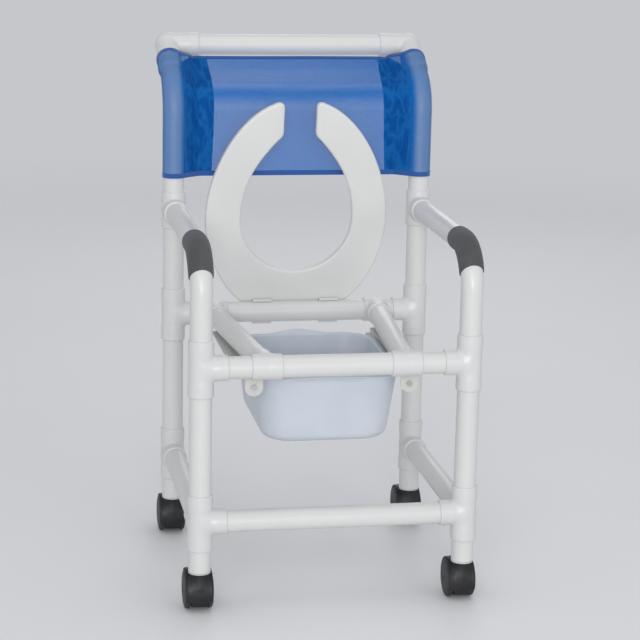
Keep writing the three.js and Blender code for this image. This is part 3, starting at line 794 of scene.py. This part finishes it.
def sling_half(sign, distance, length):
    """Centreline of the cloth on one side, from the wrapped layer's hem round the post to the middle.
    Points are (across, towards the front)."""
    stretch = np.clip((distance - (length - ELBOW_LEG - 14)) / 14, 0, 1)
    radius = SLEEVE_R + SLEEVE_STRETCH * ease(stretch)
    share = distance / length
    hem = HEM_X[sign] + 5 * (2 * share - 1) ** 2 + (6 * max(0, share - 0.8) / 0.2 if sign > 0 else 0)
    centre = (HALF_WIDTH, 0.0)
    rear_turn, front_turn = (SEAM_X + 7, -HEM_DEPTH), (SEAM_X, -PANEL_DEPTH)
    rear = tangent_angle(rear_turn, centre, radius, 1) % (2 * math.pi)
    front = tangent_angle(front_turn, centre, radius, -1) % (2 * math.pi)
    points = [(x, -HEM_DEPTH) for x in np.linspace(hem, rear_turn[0], WRAPPED)]
    points += [(centre[0] + radius * math.cos(a), radius * math.sin(a))
               for a in np.linspace(rear, front + 2 * math.pi, AROUND)]
    bridge = points[-1]
    points += [tuple(np.add(bridge, np.subtract(front_turn, bridge) * t)) for t in (0.35, 0.7, 0.9)]
    points += [(x, -PANEL_DEPTH) for x in np.linspace(SEAM_X, hem, 6)]
    points += [(x, -PANEL_DEPTH) for x in np.linspace(hem - 1, 0, PANEL)]
    points = np.array(points)
    points[:, 0] *= sign
    return points


def sling_looks():
    """(doubled, shade) of one side's columns: the wrapped layer is doubled; the cloth in front of it is
    shaded -1 with painted shade, and the cloth facing the front over the white post gets painted light, up to
    1."""
    t = np.linspace(0, 1, AROUND)
    # Painted light over each post's front-facing part: none towards the rear, full across the front, and half
    # at the front tangent.
    painted_light_over_post = np.clip((t - 0.3) / 0.25, 0, 1) * np.clip((1.06 - t) / 0.12, 0, 1)
    shade = np.concatenate([np.zeros(WRAPPED), painted_light_over_post, np.full(FACING, -1.0), np.zeros(PANEL)])
    doubled = np.zeros(len(shade))
    doubled[:WRAPPED] = 1
    return np.column_stack([doubled, shade])


def crumple(x, distance):
    """Depth of the creases in the two-layer bands, and a slight sag of the middle."""
    band = math.exp(-(((abs(x) - 200) / 20) ** 4))
    side = 1.0 if x > 0 else -1.0
    creases = (
        0.9 * math.sin(distance / 7.5 + 0.09 * abs(x) + side)
        + 0.7 * math.sin(distance / 4.1 - 0.21 * abs(x) + 2.1 * side)
        + 0.6 * math.sin(distance / 12.7 + 0.33 * abs(x) - side)
    )
    middle = max(0.0, 1 - (x / 185) ** 2)
    ripple = 0.35 * math.sin(distance / 23 + x / 61) * middle
    return -band * creases * 0.75 - SAG * middle ** 2 * math.sin(math.pi * min(1, distance / 250)) + ripple


def sling_line(distance, line):
    """The whole cloth's centreline at one height, hem to hem, in the frame and in its own flat lengths."""
    left, right = (sling_half(sign, distance, line.length) for sign in (-1, 1))
    across = np.concatenate([left, right[-2::-1]])
    flat = np.concatenate([[0], np.cumsum(np.linalg.norm(np.diff(across, axis=0), axis=1))])
    return across, flat - flat[-1] / 2


def cloth_strip(name, line, low_at, high_at, rows, thickness, material):
    """A closed shell over the sling's centreline between two heights, each a function of x and the route."""
    sheets, uvs = [], []
    for row in np.linspace(0, 1, rows):
        outer, inner, uv = [], [], []
        low, high = low_at(0, line), high_at(0, line)
        across, flat = sling_line(max(low + (high - low) * row, 0), line)
        ahead = np.gradient(across, axis=0)
        ahead /= np.linalg.norm(ahead, axis=1)[:, None]
        for (x, depth), (tx, td), u in zip(across, ahead, flat):
            place = low_at(x, line) + (high_at(x, line) - low_at(x, line)) * row
            point, heading = line.at(place)
            front = np.array([0, -heading[2], heading[1]])
            push = crumple(x, place) if depth < -10 else 0
            normal = -td * X + tx * front
            base = point + x * X + (depth + push) * front
            outer.append(base + normal * thickness / 2)
            inner.append(base - normal * thickness / 2)
            uv.append((u * MM, place * MM))
        sheets.append((outer, inner))
        uvs.append(uv)
    return shell(name, sheets, uvs, material)


def shell(name, sheets, uvs, material):
    """Joins a grid of outer points and a grid of inner points round their border."""
    rows, columns = len(sheets), len(sheets[0][0])
    outer = [p for o, _ in sheets for p in o]
    inner = [p for _, i in sheets for p in i]
    count = rows * columns
    faces = grid_faces(rows, columns, wrap_columns=False)
    faces += [tuple(count + k for k in face[::-1]) for face in faces]
    border = [j for j in range(columns)]
    border += [i * columns + columns - 1 for i in range(1, rows)]
    border += [(rows - 1) * columns + j for j in range(columns - 2, -1, -1)]
    border += [i * columns for i in range(rows - 2, 0, -1)]
    for a, b in zip(border, border[1:] + border[:1]):
        faces.append((b, a, count + a, count + b))
    piece = mesh_piece(name, outer + inner, faces, material, crease=50)
    flat = [uv for row in uvs for uv in row] * 2
    layer = piece.data.uv_layers.new(name="cloth")
    for loop in piece.data.loops:
        layer.data[loop.index].uv = flat[loop.vertex_index]
    half = sling_looks()
    looks = np.tile(np.concatenate([half, half[-2::-1]]), (2 * rows, 1))
    for name, values in zip(("doubled", "shade"), looks.T):
        piece.data.attributes.new(name, "FLOAT", "POINT").data.foreach_set("value", values)
    return piece


def sling_high(x, line):
    """The top edge is level across the middle, and lower round the sleeves."""
    t = np.clip((abs(x) - SEAM_X) / (HALF_WIDTH - 14 - SEAM_X), 0, 1)
    return line.length - SLING_TOP - (SLEEVE_TOP - SLING_TOP) * ease(t)


TAPE_WIDTH = 9.0
FLAT_AT = 100.0  # the height along the route at which the flat width is taken
TAPE_LAP = 0.6  # how far the tape reaches past the cloth's edge


def back_sling():
    line = sling_route()
    cloth = cloth_strip("sling_cloth", line, lambda x, line: 0.0, sling_high, 96, CLOTH, "sling_mesh")
    settle(cloth, "frame", ["back_sling"])
    for name, low_at, high_at in (
        ("bottom", lambda *a: -TAPE_LAP, lambda *a: TAPE_WIDTH),
        ("top", lambda *a: sling_high(*a) - TAPE_WIDTH * 0.8, lambda *a: sling_high(*a) + TAPE_LAP),
    ):
        tape = cloth_strip(f"sling_tape_{name}", line, low_at, high_at, 5, CLOTH + 1.2, "sling_tape")
        settle(tape, "frame", slot="sling_mesh")
    flat = sling_line(FLAT_AT, line)[1]


# ---- Seat ----

SEAT_LEAN = math.radians(98)
SEAT_UNDER = 30.0
SEAT_THICK = 18.0
SEAT_CELL = 3.0
SEAT_HALF = 188.5
HOLE_HALF = 116.0
WIDEST = 190.0  # from the rear bar's axis to where the ring and its hole are widest
HOLE_REACH = 113.0  # from there back to the bottom of the hole
CROWN = 2.6
CROWN_REACH = 34.0
UPPER_EDGE = 7.0
LOWER_EDGE = 4.0
seat_along = (0, math.cos(SEAT_LEAN), math.sin(SEAT_LEAN))
seat_above = (0, -math.sin(SEAT_LEAN), math.cos(SEAT_LEAN))
seat_axes = np.array([X, seat_along, seat_above])
seat_origin = np.array([0, REAR_Y, SEAT_Z])


def bezier(a, b, c, d, count=24):
    t = np.linspace(0, 1, count)[1:, None]
    a, b, c, d = map(np.array, (a, b, c, d))
    return list(a * (1 - t) ** 3 + 3 * b * t * (1 - t) ** 2 + 3 * c * t ** 2 * (1 - t) + d * t ** 3)


def rounded(before, corner, after, radius, count=7):
    """Points on an arc that rounds a corner."""
    a, b = unit(np.subtract(before, corner)), unit(np.subtract(after, corner))
    half = math.acos(np.clip(a @ b, -1, 1)) / 2
    reach = radius / math.tan(half)
    centre = corner + unit(a + b) * radius / math.sin(half)
    start, end = corner + a * reach - centre, corner + b * reach - centre
    turn = math.pi - 2 * half
    t = np.linspace(0, 1, count)[:, None]
    return list(centre + (np.sin((1 - t) * turn) * start + np.sin(t * turn) * end) / math.sin(turn))


def seat_outline():
    """Half of the open-front ring, right-hand side, from the heel to the bottom of the hole."""
    half = [np.array((0.0, -15.0))]
    half += rounded((0, -15), np.array((105, -15)), (105, 5), 5)
    half += rounded((105, -15), np.array((105, 5)), (150, 35), 9)
    half += bezier((108, 9), (150, 37), (SEAT_HALF, 112), (SEAT_HALF, WIDEST))
    half += bezier((SEAT_HALF, WIDEST), (SEAT_HALF, 290), (130, 402), (54, 431))
    half += rounded((60, 428.5), np.array((46, 434.5)), (33, 434), 9, 5)[1:]
    half += rounded((46, 434.5), np.array((33, 434.0)), (33, 367), 9)
    half += rounded((33, 434), np.array((33, 367)), (45, 355), 16)
    half += bezier((42, 358.5), (78, 318), (HOLE_HALF, 272), (HOLE_HALF, WIDEST))
    angles = np.linspace(0, math.pi / 2, 24)[1:]
    half += [np.array((HOLE_HALF * math.cos(a), WIDEST - HOLE_REACH * math.sin(a))) for a in angles]
    half = np.array(half)
    return np.concatenate([half, half[-2:0:-1] * (-1, 1)])


def outline_distance(points, outline):
    """Signed distance in the plane to a closed outline."""
    best = np.full(len(points), np.inf)
    inside = np.zeros(len(points), bool)
    for a, b in zip(outline, np.roll(outline, -1, 0)):
        edge = b - a
        if edge @ edge < 1e-9:
            continue
        offset = points - a
        t = np.clip(offset @ edge / (edge @ edge), 0, 1)
        best = np.minimum(best, ((offset - t[:, None] * edge) ** 2).sum(1))
        rises = (a[1] > points[:, 1]) != (b[1] > points[:, 1])
        if rises.any():
            at = a[0] + edge[0] * (points[:, 1] - a[1]) / (edge[1] if edge[1] else 1)
            inside ^= rises & (points[:, 0] < at)
    return np.where(inside, -1, 1) * np.sqrt(best)


def seat_piece(name, node, net):
    """Places a surface that was made in the seat's own axes."""
    points, quads, normals = net
    points = seat_origin + points @ seat_axes
    settle(mesh_piece(name, points, quads, "seat_plastic", normals @ seat_axes), "seat", [node])


def seat_ring():
    """The seat in its own plane: flat below, softly rounded above, with a crown between its edges."""
    outline = seat_outline()
    middle_z = -SEAT_UNDER - SEAT_THICK / 2

    def distance(points):
        plan = outline_distance(points[:, :2], outline)
        height = points[:, 2] - middle_z  # positive towards the underside
        crown = CROWN * np.clip(1 + plan / CROWN_REACH, 0, 1) ** 2
        half = SEAT_THICK / 2 - np.where(height < 0, crown, 0)
        edge = np.where(height < 0, UPPER_EDGE - crown, LOWER_EDGE)
        return soft_corner(plan + edge, np.abs(height) - half + edge, edge)

    low = (*outline.min(0), -SEAT_UNDER - SEAT_THICK)
    high = (*outline.max(0), -SEAT_UNDER)
    seat_piece("seat_ring", "seat", surface_net(distance, low, high, SEAT_CELL))


CLIP_WIDTH = 40.0
CLIP_R = 26.0
CLIP_INNER = 21.7
CLIP_HALF_MOUTH = math.radians(84)
CLIP_FOOT_HALF = 11.5
CLIP_CELL = 1.4
CLIP_EDGE = 1.2


def hinge_clip(side):
    """A snap clip round the rear bar, with a foot under the seat's heel."""
    name = f"seat_hinge_clip_{side}"
    centre = middle(name)[0]

    def distance(points):
        x, along, height = (points - (centre, 0, 0)).T
        radial = np.hypot(along, height)
        ring = np.abs(radial - (CLIP_R + CLIP_INNER) / 2) - (CLIP_R - CLIP_INNER) / 2 + CLIP_EDGE
        mouth = CLIP_HALF_MOUTH - np.abs(np.arctan2(along, height))
        ring = smooth_max(ring, mouth * radial + CLIP_EDGE, 1.0)
        foot_height = np.maximum(height + CLIP_INNER + 2, -height - SEAT_UNDER + 1.4)
        foot = np.maximum(np.abs(along) - CLIP_FOOT_HALF, foot_height)
        shape = smooth_min(ring, foot, 3.0)
        return soft_corner(shape, np.abs(x) - CLIP_WIDTH / 2 + CLIP_EDGE, CLIP_EDGE)

    low = (centre - CLIP_WIDTH / 2, -CLIP_R, -SEAT_UNDER)
    high = (centre + CLIP_WIDTH / 2, CLIP_R, CLIP_R)
    seat_piece(f"clip_{side}", name, surface_net(distance, low, high, CLIP_CELL))


# ---- Pail ----

def rounded_rectangle(half_x, half_y, radius, sides=20):
    """Points round a rectangle with rounded corners, and with its straight sides divided up."""
    points = []
    corners = ((1, -1), (1, 1), (-1, 1), (-1, -1))
    for k, (sx, sy) in enumerate(corners):
        centre = np.array([sx * (half_x - radius), sy * (half_y - radius)])
        start = math.pi / 2 * (k - 1)
        arc = [centre + radius * np.array([math.cos(start + a), math.sin(start + a)])
               for a in np.linspace(0, math.pi / 2, sides)]
        nx, ny = corners[(k + 1) % 4]
        after = np.array([nx * (half_x - radius), ny * (half_y - radius)])
        after = after + radius * np.array([math.cos(start + math.pi / 2), math.sin(start + math.pi / 2)])
        points += arc + [arc[-1] + (after - arc[-1]) * t for t in np.linspace(0, 1, sides + 1)[1:-1]]
    return np.array(points)


PAIL_TAPER = math.tan(math.radians(7.7))
PAIL_FLANGE = 3.4
PAIL_OVERHANG = 10.0
PAIL_WALL = 2.4
PAIL_CORNER = 58.0
PAIL_FOOT = 16.0
PAIL_HUMP = 9.4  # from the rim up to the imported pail's top, at the rear
PAIL_CREST = 9.3  # height of the hump there, just below that top
PAIL_HUMP_X = -3.0
PAIL_HUMP_HALF = 68.0
PAIL_ARCH = 2.6  # height of the low arch at the front
PAIL_ARCH_HALF = 100.0
PAIL_END = 26.0  # hump and arch start this far inside the pail's ends
PAIL_RISE = 14.0  # and are full after this much


def pail():
    """A rounded tub with a rolled flange that rises in a low hump at the rear."""
    low, high = span("pail")
    centre, half = (low + high) / 2, (high - low) / 2
    bottom = low[2]
    rim = high[2] - PAIL_HUMP
    body = half[:2] - PAIL_OVERHANG
    under = rim - PAIL_FLANGE

    def crest(points):
        rear = np.clip((points[:, 1] - half[1] + PAIL_END) / PAIL_RISE, 0, 1)
        hump = 0.5 + 0.5 * np.cos(math.pi * np.clip((points[:, 0] - PAIL_HUMP_X) / PAIL_HUMP_HALF, -1, 1))
        front = np.clip((-points[:, 1] - half[1] + PAIL_END) / PAIL_RISE, 0, 1)
        arch = np.clip(1 - (points[:, 0] / PAIL_ARCH_HALF) ** 2, 0, 1)
        return PAIL_CREST * ease(rear) * hump + PAIL_ARCH * front * arch

    def ring(inset, z, size=None, corner=PAIL_CORNER, lift=0.0):
        size = body if size is None else size
        plan = rounded_rectangle(size[0], size[1], corner) * (1 - inset / size)
        heights = z + lift * crest(plan)
        return np.column_stack([plan + centre[:2], heights])

    def wall(inset, bottom, foot, top, steps=9):
        """(inset, z) from the foot to the top."""
        angles = np.linspace(0, math.pi / 2, steps)
        curve = [(foot * (1 - math.sin(a)), bottom + foot * (1 - math.cos(a))) for a in angles]
        curve += [(0, z) for z in np.linspace(bottom + foot, top, 14)[1:]]
        return [(inset + i + (under - z) * PAIL_TAPER, z) for i, z in curve]

    outside = wall(0, bottom, PAIL_FOOT, under)
    inside = wall(PAIL_WALL, bottom + PAIL_WALL, PAIL_FOOT - PAIL_WALL, rim - 3)
    flange = half[:2]
    corner = PAIL_CORNER + PAIL_OVERHANG
    rings = [ring(body[0] * 0.9, bottom + 0.6), ring(body[0] * 0.35, bottom)]
    rings += [ring(i, z) for i, z in outside]
    lip = [(PAIL_OVERHANG * 0.6, 0.0), (2.0, -0.5), (0.5, -0.2), (0.0, 1.0)]
    lip += [(0.2, 2.4), (1.2, 3.3), (3.0, 3.5)]
    rings += [ring(i, under + dz, flange, corner, 1.0) for i, dz in lip]
    rings.append(ring(PAIL_OVERHANG * 0.75, rim, flange, corner, 0.8))
    rings += [ring(1.2, rim - 0.3), ring(2.2, rim - 1.4)]
    rings += [ring(i, z) for i, z in inside[::-1]]
    rings += [ring(body[0] * 0.35, bottom + PAIL_WALL), ring(body[0] * 0.9, bottom + PAIL_WALL + 0.6)]
    piece = loft("pail_tub", rings, "pail_plastic", crease=60)
    settle(piece, "pail", ["pail"])


# ---- Casters ----

CASTERS = [f"{end}_{side}" for end in ("front", "rear") for side in SIDES]
HOOD_R = 40.3
HOOD_ROOM = 38.1  # radius of the room that the wheels turn in
CORE_HALF = 15.8
CORE_BOTTOM = 8.0
COVER_HALF = 26.4
COVER_BOTTOM = 21.0
BOSS_R = 13.5
BOSS_DROP = 3.6  # from the pipe's end down to the boss's top
STEM_R = 5.2
STEM_TOP = 112.0
HOOD_CELL = 1.5


def caster_lines(corner):
    """The stem's axis, the axle's centre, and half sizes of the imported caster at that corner."""
    hood = half_size(f"caster_hood_{corner}")
    wheel = middle(f"caster_wheel_{corner}_outer")
    stem = np.array([math.copysign(HALF_WIDTH, wheel[0]), FRONT_Y if wheel[1] < 0 else REAR_Y, 0])
    return stem, np.array([stem[0], wheel[1], wheel[2]]), hood


def hood_mesh(corner):
    """The hood: a core between the wheels, a shell over their tops, a boss and the stem."""
    stem, axle, hood_half = caster_lines(corner)
    half = hood_half[0]
    boss_top = PIPE_END_Z - BOSS_DROP

    def cylinder(points, width, radius, edge):
        offset = points - axle
        return capped(np.hypot(offset[:, 1], offset[:, 2]), offset[:, 0], radius, width, edge)

    def upright(points, radius, low, high, edge):
        offset = points - stem
        radial = np.hypot(offset[:, 0], offset[:, 1])
        return capped(radial, offset[:, 2] - (low + high) / 2, radius, (high - low) / 2, edge)

    def distance(points):
        z = points[:, 2]
        core = smooth_max(cylinder(points, CORE_HALF, HOOD_R, 2.0), CORE_BOTTOM - z, 4.0)
        cover = smooth_max(cylinder(points, COVER_HALF, HOOD_R, 4.5), COVER_BOTTOM - z, 3.0)
        room = cylinder(points, 60, HOOD_ROOM, 1.0)
        cover = smooth_max(cover, -room, 0.8)
        shape = smooth_min(core, cover, 2.0)
        shape = smooth_min(shape, upright(points, BOSS_R, 48, boss_top, 1.5), 9.0)
        offset = points - axle
        beside_core = CORE_HALF - np.abs(offset[:, 0])
        wheels = np.maximum(np.hypot(offset[:, 1], offset[:, 2]) - HOOD_ROOM, beside_core)
        shape = np.maximum(shape, -wheels)
        return np.minimum(shape, upright(points, STEM_R, 60, STEM_TOP, 0.6))

    low = axle - (half, HOOD_R, axle[2] - 4)
    high = (axle[0] + half, axle[1] + HOOD_R, STEM_TOP + 2)
    return surface_net(distance, low, high, HOOD_CELL)


# The wheel turned about its axle: (radius, distance from the caster's middle).
WHEEL_PROFILE = [
    (0, 16.4), (30.0, 16.4), (36.2, 16.6), (37.2, 17.3), (37.5, 18.6), (37.5, 22.6), (37.2, 24.0),
    (36.2, 25.2), (34.4, 26.2), (33.6, 26.0), (32.9, 26.1), (32.2, 26.8), (27.0, 27.6), (18.0, 28.2),
    (9.0, 28.4), (8.2, 27.8), (7.2, 27.8), (6.4, 28.2), (3.0, 28.5), (0, 28.6),
]


def casters():
    points, quads, normals = hood_mesh("front_left")
    start = caster_lines("front_left")[0]
    hood = None
    for corner in CASTERS:
        stem, axle, _ = caster_lines(corner)
        if hood is None:
            piece = hood = mesh_piece(f"hood_{corner}", points, quads, "caster_hood", normals)
        else:
            piece = hood.copy()
            piece.name = f"hood_{corner}"
            piece.location = Vector((stem - start) * MM)
            bpy.context.scene.collection.objects.link(piece)
        settle(piece, f"caster_{corner}", [f"caster_hood_{corner}"])
        for where in ("outer", "inner"):
            name = f"caster_wheel_{corner}_{where}"
            facing = math.copysign(1, middle(name)[0] - axle[0])
            wheel = turned(f"wheel_{corner}_{where}", axle, X * facing, WHEEL_PROFILE, "caster_wheel")
            settle(wheel, f"wheel_{corner}_{where}", [name])


camera()
studio()
floor_corners = [(x * FLOOR_HALF, y * FLOOR_HALF, 0) for x, y in ((-1, -1), (1, -1), (1, 1), (-1, 1))]
floor = mesh_piece("floor", floor_corners, [(0, 1, 2, 3)], "glide_plastic")
floor.data.materials[0] = floor_paint()
pipes()
fittings()
for side, sign in SIDES.items():
    arm_grip(side, sign)
    hinge_clip(side)
back_sling()
seat_ring()
pail()
casters()

for name, node in frame["nodes"].items():
    slots = [row["material_slot"] for row in frame["record"]["subparts"] if row["node"] == name]
    if slots and slots[0] in MATERIALS and not node.hide_render:
        node.data.materials.clear()
        node.data.materials.append(MATERIALS[slots[0]])
